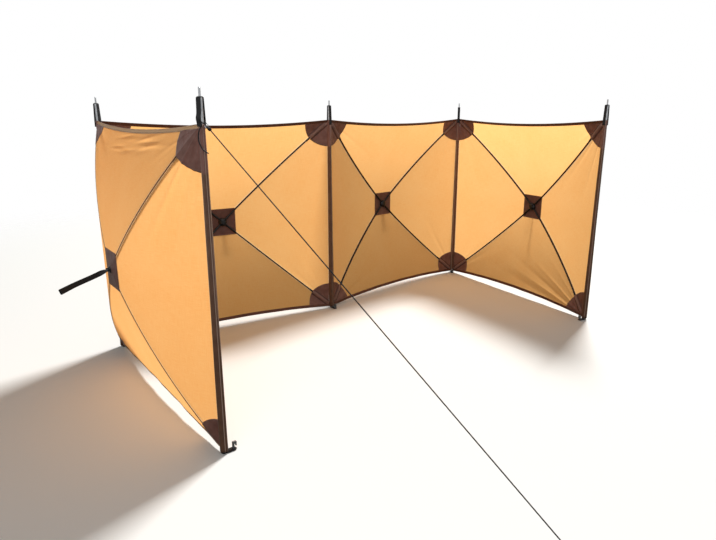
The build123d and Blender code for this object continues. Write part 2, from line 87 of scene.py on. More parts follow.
tail_points = [(-0.0004, -0.0166, 0.0034), (-0.0072, -0.0228, 0.0008), (-0.0134, -0.0259, -0.0069),
               (-0.0174, -0.0230, -0.0165), (-0.0200, -0.0168, -0.0280), (-0.0212, -0.0128, -0.0450),
               (-0.0209, -0.0118, -0.0635), (-0.0168, -0.0155, -0.0805), (-0.0102, -0.0217, -0.0945),
               (-0.0020, -0.0292, -0.1035), (0.0056, -0.0356, -0.1085)]

# Sizes of the sewn work, which the source leaves plain
foot_patch_radius = 0.150
patch_lift = 0.0013
turned_under = 0.012
turned_ply = 0.0009
binding_lift = 0.0016
sleeve_wall = 0.0009
sewn_share = 0.93
gathered_ply = 0.00105
loop_opening = 0.0075
strap_twists = {"left": 88.0, "back_left": 20.0, "back_right": 12.0, "right": -70.0}

half_width = bay_width / 2
half_height = cloth_height / 2
diagonal = hypot(half_width, half_height)
cloth_top = cloth_lift + cloth_height
post_height = cloth_top + post_above_cloth
edge_radius = (half_width ** 2 + edge_sag ** 2) / (2 * edge_sag)
upward = np.array([0.0, 0.0, 1.0])


def point_from(start, heading, distance):
    """The point at a distance along a heading in plan."""
    return (start[0] + distance * cos(radians(heading)), start[1] + distance * sin(radians(heading)))


centre_post = (0.0, 0.0)
left_corner = point_from(centre_post, bay_headings["back_left"], -bay_width)
left_end = point_from(left_corner, bay_headings["left"], -bay_width)
right_corner = point_from(centre_post, bay_headings["back_right"], bay_width)
right_end = point_from(right_corner, bay_headings["right"], bay_width)
posts = {"left_end": left_end, "left_corner": left_corner, "centre": centre_post,
         "right_corner": right_corner, "right_end": right_end}
bay_ends = {"left": ("left_end", "left_corner"), "back_left": ("left_corner", "centre"),
            "back_right": ("centre", "right_corner"), "right": ("right_corner", "right_end")}
# Each post faces the sheltered side, square to the mean of its bays
inward_headings = {name: np.mean([bay_headings[bay] for bay in bay_ends if name in bay_ends[bay]]) - 90
                   for name in posts}


# Meshes

def grid_piece(name, grids, material, node):
    """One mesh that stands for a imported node, from grids of points, rows by columns, with every four
    neighbouring points joined as a face. Each grid is (points, cut map, values, facing): facing is the side
    that it shows, or None in a closed shape, whose faces are turned outwards at the end. Points that coincide
    are merged, so seams and poles are closed."""
    points, cuts, faces, values, base = [], [], [], {}, 0
    for grid, cut, extra, facing in grids:
        rows, columns = grid.shape[:2]
        index = base + np.arange(rows * columns).reshape(rows, columns)
        corners = [index[:-1, :-1], index[:-1, 1:], index[1:, 1:], index[1:, :-1]]
        quads = np.stack(corners, axis=-1).reshape(-1, 4)
        if facing is not None:
            normals = np.cross(grid[1:, 1:] - grid[:-1, :-1], grid[1:, :-1] - grid[:-1, 1:])
            if (normals * facing).sum() < 0:
                quads = quads[:, ::-1]
        faces.append(quads)
        points.append(grid.reshape(-1, 3))
        cuts.append(np.broadcast_to(cut, (rows, columns, 2)).reshape(-1, 2))
        for key in ("seam", "rim", "run", "fold", "own"):
            values.setdefault(key, []).append(np.broadcast_to(extra.get(key, 1.0), (rows, columns)).ravel())
        base += rows * columns
    points, cuts, faces = np.concatenate(points), np.concatenate(cuts), np.concatenate(faces)
    mesh = bpy.data.meshes.new(name)
    mesh.from_pydata(points, [], faces)
    mesh.uv_layers.new(name="cut").data.foreach_set("uv", cuts[faces.ravel()].astype(np.float32).ravel())
    for key, parts in values.items():
        field = mesh.attributes.new(key, "FLOAT", "POINT")
        field.data.foreach_set("value", np.concatenate(parts).astype(np.float32))
    work = bmesh.new()
    work.from_mesh(mesh)
    bmesh.ops.remove_doubles(work, verts=work.verts, dist=2e-6)
    bmesh.ops.dissolve_degenerate(work, edges=work.edges, dist=1e-7)
    if grids[0][3] is None:
        bmesh.ops.recalc_face_normals(work, faces=work.faces)
    work.to_mesh(mesh)
    work.free()
    mesh.shade_smooth()
    mesh.materials.append(material)
    piece = bpy.data.objects.new(name, mesh)
    bpy.context.collection.objects.link(piece)
    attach(piece, "root")
    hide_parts(node)
    return piece


def unit(vectors):
    """The vectors scaled to length one."""
    return vectors / np.linalg.norm(vectors, axis=-1, keepdims=True)


def bell(distance, width):
    """1 at no distance, falling to nothing as the exponential of minus the square of distance over width."""
    return np.exp(-(distance / width) ** 2)


def run_length(path):
    """Distance along a path up to each of its points."""
    return np.concatenate([[0.0], np.cumsum(np.linalg.norm(np.diff(path, axis=0), axis=1))])


def carried(profile, path, side, closed=False):
    """A profile carried along a path: each profile point is the path point plus its first number along the
    side vector and its second along the normal, which is the tangent crossed with the side vector. The
    profile is the same all along, or one row for each point of the path."""
    if closed:
        tangent = unit(np.roll(path[:-1], -1, axis=0) - np.roll(path[:-1], 1, axis=0))
        tangent = np.concatenate([tangent, tangent[:1]])
    else:
        tangent = unit(np.gradient(path, axis=0))
    side = np.broadcast_to(np.asarray(side, float), path.shape)
    side = unit(side - (side * tangent).sum(axis=1, keepdims=True) * tangent)
    normal = np.cross(tangent, side)
    return path[:, None] + profile[..., :1] * side[:, None] + profile[..., 1:] * normal[:, None]


def bent_path(corners, radius, spacing):
    """Corner points joined by straight runs, each corner rounded by a quadratic curve that starts and ends
    one radius away from it, then sampled at an even spacing."""
    corners = np.asarray(corners, float)
    pieces = [corners[:1]]
    turn = np.linspace(0, 1, 9)[:, None]
    for before, corner, after in zip(corners[:-2], corners[1:-1], corners[2:]):
        reach_in = min(radius, 0.45 * np.linalg.norm(corner - before))
        reach_out = min(radius, 0.45 * np.linalg.norm(after - corner))
        start = corner + unit(before - corner) * reach_in
        finish = corner + unit(after - corner) * reach_out
        pieces.append((1 - turn) ** 2 * start + 2 * turn * (1 - turn) * corner + turn ** 2 * finish)
    pieces.append(corners[-1:])
    rough = np.concatenate(pieces)
    run = run_length(rough)
    even = np.linspace(0, run[-1], max(3, int(run[-1] / spacing)))
    return np.stack([np.interp(even, run, rough[:, axis]) for axis in range(rough.shape[1])], axis=1)


def closed_band(path, side, width, ply):
    """A flat band's grid along a closed path: a rectangle with half-round selvedges carried along it. Its cut
    map holds metres across and along."""
    bend = np.linspace(-pi / 2, pi / 2, 6)
    selvedge = np.stack([width / 2 - ply / 2 + ply / 2 * np.cos(bend), ply / 2 * np.sin(bend)], axis=1)
    flat = np.linspace(width / 2 - ply, ply - width / 2, 7)
    half = np.concatenate([selvedge, np.stack([flat, np.full_like(flat, ply / 2)], axis=1)])
    profile = np.concatenate([half, -half, half[:1]])
    grid = carried(profile, path, side, closed=True)
    cut = np.stack(np.broadcast_arrays(profile[:, 0], run_length(path)[:, None]), axis=-1)
    return grid, cut, {}, None


def round_cord(path, radius, side, count=14):
    """A round cord's grid along a path: a circle carried along it, drawn in to a point at each end. Its cut
    map holds the share of a turn and metres along."""
    turn = np.linspace(0, 1, count + 1)
    circle = radius * np.stack([np.cos(2 * pi * turn), np.sin(2 * pi * turn)], axis=1)
    tube = carried(circle, path, side)
    ends = [np.broadcast_to(path[end], tube[:1].shape) for end in (0, -1)]
    along = run_length(path)
    along = np.concatenate([along[:1], along, along[-1:]])
    cut = np.stack(np.broadcast_arrays(turn, along[:, None]), axis=-1)
    return np.concatenate([ends[0], tube, ends[1]]), cut, {}, None


# The bay's surface, in its own frame: x along the bay and y up from its middle, depth out of the shelter

def edge_height(x):
    """Height of the hem over the bay's middle: an arc that dips by the sag at the middle of the bay."""
    return half_height - edge_sag + edge_radius - np.sqrt(edge_radius ** 2 - x ** 2)


def sleeve_radius(y):
    """Outer radius of a sleeve, which widens evenly from its top to its foot."""
    return sleeve_foot + (sleeve_top - sleeve_foot) * (y / cloth_height + 0.5)


def sewn_edge(y):
    """Half the cloth's width with the strip that is sewn into the sleeves."""
    return half_width - sewn_share * sleeve_radius(y)


def share_in(x, y):
    """0 at the posts and hem line, 1 at the hub."""
    return 1 - np.maximum(np.abs(x) / half_width, np.abs(y) / half_height)


def rise(x, y):
    """Depth of the taut cloth: a parabola from the edge to the hub, the same along each gore."""
    share = share_in(x, y)
    return 2 * share * (1 - share) * (pop_depth / 2 + 2 * cloth_bow) + share ** 2 * pop_depth


def off_seam(x, y):
    """Distance from the nearer diagonal seam."""
    return np.abs(np.abs(x) / half_width - np.abs(y) / half_height) * half_width * half_height / diagonal


# Fans of creases at the corners of each bay: angle, angular width, height and length of each crease
bay_corners = ((1, 1), (-1, 1), (-1, -1), (1, -1))
fan_height = 0.0020
creases_in_fan = 8
draw = np.random.default_rng(7)
corner_fans = {}
for bay in bay_headings:
    for corner in bay_corners:
        limits = ((0.06, 1.50), (0.025, 0.065), (-1.0, 1.0), (0.14, 0.36))
        angles, *others = (draw.uniform(*limit, creases_in_fan) for limit in limits)
        corner_fans[bay, corner] = (np.sort(angles), *others)
# The right end's foot pulls long creases along the lower hem
corner_fans["right", (-1, -1)] = ([0.07, 0.15, 0.22, 0.31, 0.42, 0.60, 1.28], [0.026] * 7,
                                  [0.9, -0.6, 1.0, -0.7, 0.8, 0.4, 0.5],
                                  [0.44, 0.50, 0.40, 0.46, 0.34, 0.30, 0.30])
tight_corners = {("right", (-1, -1)): 2.6, ("left", (1, 1)): 1.9, ("left", (-1, 1)): 2.2,
                 ("right", (-1, 1)): 1.4, ("left", (1, -1)): 1.5, ("back_left", (1, -1)): 1.5}
# Folds of the left bay's slack upper edge: place, depth below it, half length, half width, height, slant
hem_folds = [(draw.uniform(-0.25, 0.48), draw.uniform(0.022, 0.115), draw.uniform(0.06, 0.16),
              draw.uniform(0.006, 0.011), draw.choice([-1, 1]) * draw.uniform(0.0018, 0.0036),
              draw.uniform(-0.12, 0.05)) for _ in range(13)]
# Folds beside its end post: distance from the post, middle, half length, half width, height
upright_folds = [(0.046, 0.28, 0.22, 0.006, 0.0026), (0.068, 0.18, 0.30, 0.007, -0.0022),
                 (0.036, -0.1, 0.35, 0.005, 0.0016), (0.098, 0.22, 0.20, 0.009, 0.0020)]
pucker_height, pucker_length, pucker_reach = 0.0014, 0.034, 0.035
ripple_height, ripple_reach = 0.0012, 0.06
ripple_phases = {"left": 0.4, "back_left": 1.9, "back_right": 3.1, "right": 4.4}
flat_by_seam = 0.022


def creases(bay, x, y):
    """Creases, as a sum of waves and bells. Each corner has a fan, bells over the angle and the distance.
    Beside each seam are short puckers, waves along it in patches that die out away from it. Each hem has
    slow ripples that die out in 60 mm. The left bay's slack edges have folds, bells in both directions.
    All are nothing at the seams."""
    total = np.zeros(np.broadcast(x, y).shape)
    for corner in bay_corners:
        across, down = half_width - corner[0] * x, half_height - corner[1] * y
        reach, angle = np.hypot(across, down), np.arctan2(down, across)
        amount = fan_height * tight_corners.get((bay, corner), 1.0)
        for centre, width, height, length in zip(*corner_fans[bay, corner]):
            total += amount * height * bell(angle - centre, width) * bell(reach - 0.6 * length, length)
    phase = ripple_phases[bay]
    off = off_seam(x, y)
    along = np.hypot(x, y)
    patchy = 0.5 + 0.5 * np.sin(2 * pi * along / 0.37 + phase * np.sign(x) + 2 * np.sign(y))
    puckers = np.sin(2 * pi * along / pucker_length + 3 * np.sin(9 * along + phase))
    total += pucker_height * patchy * puckers * np.exp(-off / pucker_reach) * bell(along - 0.62, 0.34)
    for side in (1, -1):
        ripple = np.sin(2 * pi * x / 0.31 + phase * side) + 0.6 * np.sin(2 * pi * x / 0.173 + 2 * phase)
        total += ripple_height * ripple * np.exp(-np.clip(edge_height(x) - side * y, 0, None) / ripple_reach)
    if bay == "left":
        depth = np.clip(edge_height(x) - y, 0, None)
        for place, below, length, width, height, slant in hem_folds:
            level = depth - below - slant * (x - place)
            total += height * bell(level, width) * bell(x - place, length)
        for inward, middle, length, width, height in upright_folds:
            level = half_width - x - inward - 0.02 * (y - middle)
            total += height * bell(level, width) * bell(y - middle, length)
    return total * (1 - bell(off, flat_by_seam))


def in_bay(bay, x, y, z):
    """Points of a bay's own frame (along, up, out of the shelter) in the shared frame."""
    heading = radians(bay_headings[bay])
    middle = point_from(posts[bay_ends[bay][0]], bay_headings[bay], half_width)
    x, y, z = np.broadcast_arrays(x, y, z)
    return np.stack([middle[0] - cos(heading) * x - sin(heading) * z,
                     middle[1] - sin(heading) * x + cos(heading) * z, cloth_lift + half_height + y], axis=-1)


def on_cloth(bay, x, y, lift):
    """Points at a height over the creased cloth, measured square to its surface."""
    def depth(x, y):
        return rise(x, y) + creases(bay, x, y)
    step = 5e-4
    slope_x = (depth(x + step, y) - depth(x - step, y)) / (2 * step)
    slope_y = (depth(x, y + step) - depth(x, y - step)) / (2 * step)
    size = np.sqrt(1 + slope_x ** 2 + slope_y ** 2)
    return in_bay(bay, x - lift * slope_x / size, y - lift * slope_y / size, depth(x, y) + lift / size)


def outward_of(bay):
    """The bay's direction out of the shelter."""
    heading = radians(bay_headings[bay])
    return np.array([-sin(heading), cos(heading), 0.0])


# Directions of the upper, right, lower and left gore, as seen from the sheltered side
gore_turns = ((0, 1), (1, 0), (0, -1), (-1, 0))
bolt_share = 0.008


def gore_grid(bay, turn, limit_x, limit_y, columns, rows, lift, gather, facing):
    """One gore as a grid: rays from seam to seam through the hub, each followed from the outline in to the
    hub's bolt. The outline's half width and half height are functions of the place on the other axis. The
    rays are gathered towards the seams as a sine of their number."""
    even = np.linspace(-1, 1, columns)
    across = gather * np.sin(even * pi / 2) + (1 - gather) * even
    ray = np.stack([half_width * (turn[0] + across * turn[1]),
                    half_height * (turn[1] - across * turn[0])], axis=1)
    reach = np.ones_like(across)
    for _ in range(12):
        wide, tall = limit_x(ray[:, 1] * reach), limit_y(ray[:, 0] * reach)
        reach = np.minimum(wide / np.maximum(np.abs(ray[:, 0]), 1e-9),
                           tall / np.maximum(np.abs(ray[:, 1]), 1e-9))
    down = np.linspace(0, 1, rows)[:, None] ** 1.25
    scale = reach * (1 - down) + bolt_share * down
    x, y = ray[:, 0] * scale, ray[:, 1] * scale
    run, half = (x, half_height) if turn[0] == 0 else (y, half_width)
    cut = np.stack([run, share_in(x, y) * hypot(half, pop_depth)], axis=-1)
    values = {"seam": off_seam(x, y), "rim": (reach - scale) * half, "run": run}
    return on_cloth(bay, x, y, lift), cut, values, facing


# Materials

def linear(code):
    """An sRGB hex colour as linear light."""
    parts = [int(code[place:place + 2], 16) / 255 for place in (1, 3, 5)]
    return tuple(c / 12.92 if c <= 0.04045 else ((c + 0.055) / 1.055) ** 2.4 for c in parts) + (1.0,)


def add_node(tree, kind, inputs=(), output=0, **settings):
    """Adds a node with its settings, links or sets its inputs, which are named or in their order, and
    returns one of its outputs. A text among the inputs is an sRGB hex colour."""
    added = tree.nodes.new("ShaderNode" + kind)
    for key, value in settings.items():
        setattr(added, key, value)
    for key, value in inputs.items() if isinstance(inputs, dict) else enumerate(inputs):
        if isinstance(value, bpy.types.NodeSocket):
            tree.links.new(value, added.inputs[key])
        else:
            added.inputs[key].default_value = linear(value) if isinstance(value, str) else value
    return added.outputs[output]


def new_material(name, surface, *tones):
    """A material whose shader is made by a function, which takes add_node for the material's tree, and its
    tones."""
    made = bpy.data.materials.new(name)
    made.use_nodes = True
    tree = made.node_tree
    tree.nodes.clear()
    shown = surface(partial(add_node, tree), *tones)
    tree.links.new(shown, tree.nodes.new("ShaderNodeOutputMaterial").inputs["Surface"])
    return made


def woven_polyester(add):
    """Plain-woven orange polyester with a thin coating: matt, lets most of the light through, shows thick
    threads as faint streaks both ways, and is browner along the seams, where its edges are folded and a
    painted shadow of the pole behind is added. Pale painted highlights run beside the seams and round its
    outline."""
    cut = add("UVMap", uv_map="cut")
    seam, rim = (add("Attribute", (), "Fac", attribute_name=key) for key in ("seam", "rim"))
    # Threads are 0.35 mm apart, too fine to show: thick ones are drawn about 1.5 mm apart
    streaks = []
    for scale in ((18, 650, 1), (650, 18, 1)):
        drawn = add("Mapping", {"Vector": cut, "Scale": scale})
        streaks.append(add("TexNoise", {"Vector": drawn, "Scale": 1.0, "Detail": 2.0}, noise_dimensions="2D"))
    threads = add("Math", streaks, operation="ADD")
    uneven = add("MapRange", (threads, 0.75, 1.25, 0.0, 0.8))
    cloudy = add("TexNoise", {"Vector": cut, "Scale": 3.5, "Detail": 3.0}, noise_dimensions="2D")
    tone = add("Math", (cloudy, 0.6, uneven), operation="MULTIPLY_ADD")
    tone = add("MapRange", (tone, 0.35, 1.25))
    colour = add("Mix", {0: tone, 6: "#F9BF79", 7: "#F4B065"}, 2, data_type="RGBA")
    # Painted highlights: pale laps 9 mm wide by the seams and a pale edge of 6 mm round the outline; and a
    # dark fold 4 mm each side of the seams, partly the folded seam and partly a painted shadow of the pole
    # behind it
    lap = add("MapRange", (seam, 0.0085, 0.0105, 0.45, 0.0))
    outline_highlight = add("MapRange", (rim, 0.0055, 0.0070, 0.25, 0.0))
    lap = add("Math", (lap, outline_highlight), operation="MAXIMUM")
    fold = add("MapRange", (seam, 0.0032, 0.0044, 1.0, 0.0))
    for share, tint in ((lap, "#FFE0B4"), (fold, "#5E3822")):
        colour = add("Mix", {0: share, 6: colour, 7: tint}, 2, data_type="RGBA")
    doubled = add("Math", (fold, lap), operation="MAXIMUM")
    ridge = add("Bump", {"Strength": 0.25, "Distance": 0.0006, "Height": threads})
    ridge = add("Bump", {"Strength": 0.8, "Distance": 0.0014, "Height": doubled, "Normal": ridge})
    face = add("BsdfPrincipled", {"Base Color": colour, "Roughness": 0.58, "Specular IOR Level": 0.3,
                                  "Sheen Weight": 0.12, "Sheen Roughness": 0.4, "Normal": ridge})
    back = add("BsdfTranslucent", {"Color": colour, "Normal": ridge})
    return add("MixShader", (0.70, face, back))


def sewn_cloth(add, light, deep, thread, highlight_tone, other_colour_and_shade, through):
    """Dyed polyester tape or cloth: close ribs, matt, with a row of stitches inside its edge. Along a fold it
    has a pale painted highlight where the fold rises and a painted shadow line beside it, where it is sewn
    down. Its soft wrinkles carry painted shade and light, and the other colour is a colour of its own on some
    pieces and a painted shade on the hub patches. It lets a share of the light through."""
    cut = add("UVMap", uv_map="cut")
    place = add("TexCoord", (), "Object")
    rim, run, fold, own = (add("Attribute", (), "Fac", attribute_name=key)
                           for key in ("rim", "run", "fold", "own"))
    # Ribs 2.4 mm apart, each of a few real ones, as a wave texture repeats every 0.31 of its units
    ribs = add("TexWave", {"Vector": cut, "Scale": 0.31 / 0.0024, "Distortion": 0.6, "Detail": 1.0}, 1,
               bands_direction="X")
    # One noise raises the soft wrinkles and paints shade and light on them: the deep tone where they rise, the
    # light one between
    wrinkle_noise = add("TexNoise", {"Vector": place, "Scale": 24.0, "Detail": 4.0})
    wrinkle_shade = add("MapRange", (wrinkle_noise, 0.3, 0.7))
    colour = add("Mix", {0: wrinkle_shade, 6: light, 7: deep}, 2, data_type="RGBA")
    # The other colour is the cloth's colour on the binding's outer flank and the patches' colour at a sleeve's
    # top; on the hub patches it is a painted shade
    colour = add("Mix", {0: own, 6: other_colour_and_shade, 7: colour}, 2, data_type="RGBA")
    # A painted highlight 10 mm each side of a fold, a painted shadow line 18 mm off it, and the row 4 mm
    # inside the edge
    ridge_highlight = add("MapRange", (fold, 0.008, 0.013, 0.75, 0.0))
    marks = []
    for distance, middle, *fading in ((fold, 0.018, 0.002, 0.005, 0.6), (rim, 0.004, 0.0005, 0.0009, 1.0)):
        off = add("Math", (distance, middle), operation="SUBTRACT")
        off = add("Math", (off,), operation="ABSOLUTE")
        marks.append(add("MapRange", (off, *fading, 0.0)))
    beside, row = marks
    # Stitches 3 mm long and 4 mm apart
    pace = add("Math", (run, 1 / 0.004), operation="MULTIPLY")
    pace = add("Math", (pace,), operation="FRACT")
    pace = add("Math", (pace, 0.74), operation="LESS_THAN")
    sewn = add("Math", (row, pace), operation="MULTIPLY")
    # Paints the highlight on the fold and the shadow line beside it, then the stitches
    for share, tint in ((ridge_highlight, highlight_tone), (beside, "#33201B"), (sewn, thread)):
        colour = add("Mix", {0: share, 6: colour, 7: tint}, 2, data_type="RGBA")
    relief = add("Bump", {"Strength": 0.5, "Distance": 0.0004, "Height": ribs})
    relief = add("Bump", {"Strength": 0.7, "Distance": 0.0006, "Height": sewn, "Normal": relief})
    relief = add("Bump", {"Strength": 0.55, "Distance": 0.004, "Height": wrinkle_noise, "Normal": relief})
    face = add("BsdfPrincipled", {"Base Color": colour, "Roughness": 0.55, "Specular IOR Level": 0.4,
                                  "Sheen Weight": 0.2, "Sheen Roughness": 0.35, "Normal": relief})
    back = add("BsdfTranslucent", {"Color": colour, "Normal": relief})
    return add("MixShader", (through, face, back))


def polypropylene_webbing(add):
    """Black polypropylene webbing: flat shuttle-woven ribs across the strap, slightly shiny yarn."""
    cut = add("UVMap", uv_map="cut")
    # Herringbone yarns 2 mm apart, with cross ribs 3 mm apart
    slant = add("Mapping", {"Vector": cut, "Rotation": (0, 0, 0.9), "Scale": (600, 600, 1)})
    yarn = add("TexWave", {"Vector": slant, "Scale": 0.26, "Distortion": 0.4, "Detail": 1.0}, 1)
    cross = add("TexWave", {"Vector": cut, "Scale": 105.0}, 1, bands_direction="Y")
    height = add("Math", (yarn, cross), operation="MULTIPLY")
    colour = add("Mix", {0: height, 6: "#08080A", 7: "#1E1E22"}, 2, data_type="RGBA")
    bump = add("Bump", {"Strength": 0.8, "Distance": 0.0005, "Height": height})
    return add("BsdfPrincipled", {"Base Color": colour, "Roughness": 0.5, "Specular IOR Level": 0.25,
                                  "Normal": bump})


def braided_polyester(add):
    """Black braided polyester cord: strands that cross in diamonds round it, a little shiny."""
    cut = add("UVMap", uv_map="cut")
    # Eight strands round the cord each way, and a diamond every 5 mm along it
    around = add("SeparateXYZ", (cut,), 0)
    around = add("Math", (around, 8 * 2 * pi), operation="MULTIPLY")
    along = add("SeparateXYZ", (cut,), 1)
    along = add("Math", (along, 2 * pi / 0.005), operation="MULTIPLY")
    strands = []
    for lean in ("ADD", "SUBTRACT"):
        strand = add("Math", (around, along), operation=lean)
        strands.append(add("Math", (strand,), operation="SINE"))
    height = add("Math", strands, operation="MAXIMUM")
    height = add("MapRange", (height, -0.3, 1.0))
    colour = add("Mix", {0: height, 6: "#050506", 7: "#1A1A1D"}, 2, data_type="RGBA")
    bump = add("Bump", {"Strength": 0.7, "Distance": 0.0004, "Height": height})
    return add("BsdfPrincipled", {"Base Color": colour, "Roughness": 0.55, "Specular IOR Level": 0.2,
                                  "Normal": bump})


def pultruded_fibreglass(add):
    """Black pultruded fibreglass rod: smooth satin resin with fine glass streaks."""
    place = add("TexCoord", (), "Object")
    # Streaks 4 mm long
    streak = add("TexNoise", {"Vector": place, "Scale": 260.0, "Detail": 3.0})
    colour = add("Mix", {0: streak, 6: "#060607", 7: "#111113"}, 2, data_type="RGBA")
    gloss = add("MapRange", (streak, 0.3, 0.7, 0.32, 0.46))
    return add("BsdfPrincipled", {"Base Color": colour, "Roughness": gloss, "IOR": 1.5,
                                  "Specular IOR Level": 0.3})


def moulded_nylon(add):
    """Black glass-filled nylon, injection moulded: satin, with a fine grain from the mould."""
    place = add("TexCoord", (), "Object")
    # Grain 0.8 mm across, and flow marks 20 mm across
    grain = add("TexNoise", {"Vector": place, "Scale": 1250.0, "Detail": 2.0})
    flow = add("TexNoise", {"Vector": place, "Scale": 45.0, "Detail": 3.0})
    colour = add("Mix", {0: flow, 6: "#0A0A0B", 7: "#151517"}, 2, data_type="RGBA")
    gloss = add("MapRange", (flow, 0.3, 0.7, 0.38, 0.52))
    bump = add("Bump", {"Strength": 0.35, "Distance": 0.0002, "Height": grain})
    return add("BsdfPrincipled", {"Base Color": colour, "Roughness": gloss, "Normal": bump, "IOR": 1.53,
                                  "Specular IOR Level": 0.3})


def zinc_plated_steel(add, light, deep, rough):
    """Drawn steel tube or wire, zinc plated: soft grey shine, faint drawing lines and dull spots."""
    place = add("TexCoord", (), "Object")
    # Lines 1 mm apart along the tube, and spots 17 mm across
    drawn = add("Mapping", {"Vector": place, "Scale": (900, 900, 6)})
    lines = add("TexNoise", {"Vector": drawn, "Scale": 1.0, "Detail": 2.0})
    spots = add("TexNoise", {"Vector": place, "Scale": 60.0, "Detail": 4.0})
    dull = add("MapRange", (spots, 0.35, 0.7))
    colour = add("Mix", {0: dull, 6: light, 7: deep}, 2, data_type="RGBA")
    gloss = add("MapRange", (spots, 0.3, 0.7, rough - 0.07, rough + 0.1))
    bump = add("Bump", {"Strength": 0.15, "Distance": 0.0002, "Height": lines})
    return add("BsdfPrincipled", {"Base Color": colour, "Metallic": 1.0, "Roughness": gloss, "Normal": bump})


orange_cloth = new_material("woven_polyester_orange", woven_polyester)
# Tones: light, deep, thread, the painted highlight of the folds, the other colour, and the share of light
# through. The patches' other colour is the dark painted shade of the hub patches.
patch_cloth = new_material("patch_polyester_brown", sewn_cloth, "#A47B70", "#8A6156", "#B6958A", "#BC988C",
                           "#4C3638", 0.3)
binding_tape = new_material("binding_tape_brown", sewn_cloth, "#6A3E2B", "#54301F", "#8A5A45", "#8A5A45",
                            "#E2B27C", 0.1)
sleeve_cloth = new_material("sleeve_polyester_brown", sewn_cloth, "#75533F", "#604231", "#8A6450", "#C8A898",
                            "#8E645A", 0.05)
webbing = new_material("polypropylene_webbing", polypropylene_webbing)
cord = new_material("braided_polyester", braided_polyester)
fibreglass = new_material("pultruded_fibreglass", pultruded_fibreglass)
nylon = new_material("moulded_nylon", moulded_nylon)
steel = new_material("zinc_plated_steel", zinc_plated_steel, "#A6A8AA", "#888A8D", 0.34)
wire = new_material("galvanised_wire", zinc_plated_steel, "#8E9092", "#727476", 0.42)


# Sewn pieces of a bay

def binding_grids(bay):
    """A tape folded over each hem: its section, two flanks joined by a half round, is carried along the hem's
    arc from sleeve to sleeve. The flanks stand off the cloth and close on it at their inner edge. The outer
    flank has the cloth's colour."""
    fold = np.linspace(-1, 1, 25)
    round_share = 0.12
    flank = np.clip((np.abs(fold) - round_share) / (1 - round_share), 0, 1)
    bend = np.clip(np.abs(fold) / round_share, 0, 1) * pi / 2
    inward = binding_width * flank - binding_lift * np.cos(bend)
    closing = 1 - 0.75 * np.clip((flank - 0.85) / 0.15, 0, 1)
    lift = np.sign(fold) * binding_lift * np.sin(bend) * closing
    grids = []
    for side in (1, -1):
        reach = sewn_edge(side * half_height)
        xs, ins = np.meshgrid(np.linspace(-reach, reach, 200), inward, indexing="ij")
        ys = side * (edge_height(xs) - np.clip(ins, 0, None))
        grid = on_cloth(bay, xs, ys, np.broadcast_to(lift, xs.shape))
        grid[..., 2] += side * np.clip(-ins, 0, None)
        values = {"rim": binding_width - np.abs(ins), "run": xs, "own": np.where(fold > 0.1, 0.0, 1.0)}
        grids.append((grid, np.stack([ins, xs], axis=-1), values, None))
    return grids


def channel_height(along, off):
    """How far the inner patch stands off the cloth over a pole's pocket: round the rod in the middle, and in
    straight slopes from there down to its seams, 21 mm off. It swells from nothing ahead of the rod's end."""
    centre, radius, foot = pole_depth - 0.0015, pocket_radius, 0.021
    rooted = radius * sqrt(foot ** 2 + centre ** 2 - radius ** 2)
    slope = (foot * centre + rooted) / (foot ** 2 - radius ** 2)
    touch = radius * slope / sqrt(1 + slope ** 2)
    over = centre + np.sqrt(np.clip(radius ** 2 - off ** 2, 0, None))
    beside = np.clip(slope * (foot - off), 0, None)
    share = np.clip((along - pole_inset + 0.030) / 0.026, 0, 1)
    return np.where(off < touch, over, beside) * share ** 2 * (3 - 2 * share)


def patch_grids(bay):
    """Quarter rounds at the corners and a square under the hub, on both faces of the cloth, each turned under
    at its rim. The corner ones are drawn in rays from the corner, closer beside the diagonal. On the inner
    face they stand over the pole's pocket, open at the rim where the pole comes out."""
    def square(place):
        return hub_patch_side / 2
    grids = []
    split = atan2(half_height, half_width)
    close = np.linspace(1, 0, 34) ** 1.7
    angles = np.concatenate([split * (1 - close), split + (pi / 2 - split) * close[::-1][1:]])
    under = np.concatenate([np.zeros(30), [turned_ply, turned_ply]])[:, None]
    for face in (1, -1):
        facing = face * outward_of(bay)
        for corner in bay_corners:
            full = foot_patch_radius if (bay, corner) == ("left", (1, -1)) else corner_patch_radius
            reach = np.concatenate([np.linspace(0.0, full, 30), [full, full - turned_under]])[:, None]
            along, off = reach * np.cos(angles - split), reach * np.sin(angles - split)
            stand = patch_lift + (channel_height(along, np.abs(off)) if face < 0 else 0.0)
            if (bay, corner, face) == ("left", (1, 1), 1):
                # The tight upper corner of the left end puckers its patch: waves inside a bell
                pleat = np.sin(2 * pi * reach * np.cos(angles - 0.5) / 0.017 + 2 * np.sin(9 * angles))
                stand = stand + 0.0030 * (1 + pleat) * bell(reach - 0.125, 0.04) * bell(angles - 0.30, 0.30)
            ys = corner[1] * (half_height - reach * np.sin(angles))
            xs = corner[0] * (half_width - reach * np.cos(angles))
            xs = np.clip(xs, -sewn_edge(ys), sewn_edge(ys))
            hem = edge_height(xs) - binding_width * 0.9
            grid = on_cloth(bay, xs, np.clip(ys, -hem, hem), face * (stand - under))
            values = {"rim": full - reach, "run": full * angles, "fold": np.abs(off) if face < 0 else 1.0}
            grids.append((grid, np.stack([off, along], axis=-1), values, facing))
        for turn in gore_turns:
            grids.append(gore_grid(bay, turn, square, square, 31, 16, face * patch_lift, 0.0, facing))
            # The hub patches are darkened by a painted shade, deeper on the inner face
            grids[-1][2]["own"] = 0.7 + 0.1 * face
    return grids


